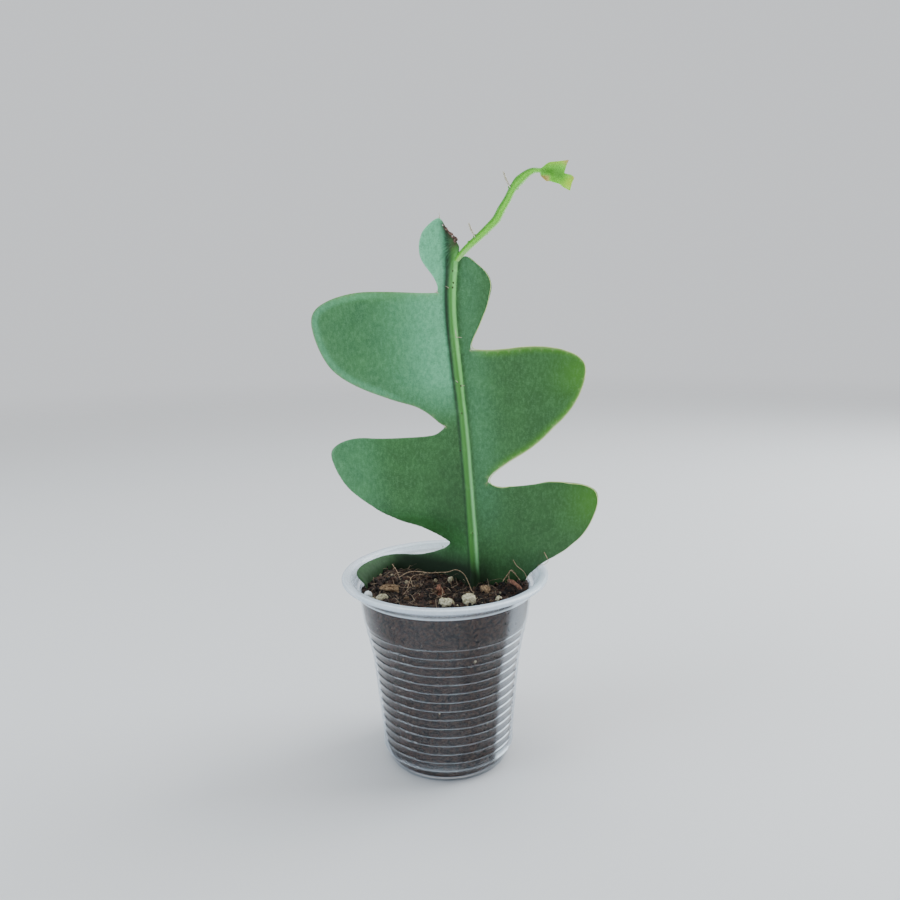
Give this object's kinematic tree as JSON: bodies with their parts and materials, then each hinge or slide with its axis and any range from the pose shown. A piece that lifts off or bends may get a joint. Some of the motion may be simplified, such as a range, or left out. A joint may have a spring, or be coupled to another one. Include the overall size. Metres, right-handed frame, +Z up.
{
  "type": "potted epiphyllum",
  "caption": "Young flat-stemmed lobed cactus cutting with a fresh toothed shoot, planted in dark potting mix in a small clear ribbed cup that stands on its flat base.",
  "frame": {"origin": "centre of the flat underside of the cup", "axes": "+Z up through the cup's axis; the broad front face of the plant looks along -Y and its blade spreads along X"},
  "size_m": [0.0813, 0.06, 0.1696],
  "materials": {
    "clear_plastic": "gloss",
    "soil": "matte",
    "stem_green": "satin",
    "young_green": "satin",
    "dry_tip": "matte",
    "perlite": "matte",
    "bark": "matte",
    "root": "matte"
  },
  "bodies": {
    "root": {"cup": "clear_plastic", "soil": "soil", "stem_segment": "stem_green", "new_shoot": "young_green", "dry_tip": "dry_tip", "perlite_1": "perlite", "perlite_2": "perlite", "perlite_3": "perlite", "perlite_4": "perlite", "perlite_5": "perlite", "perlite_6": "perlite", "perlite_7": "perlite", "bark_1": "bark", "bark_2": "bark", "bark_3": "bark", "stick": "bark", "root_1": "root", "root_2": "root", "root_3": "root", "root_4": "root"}
  },
  "joints": []
}
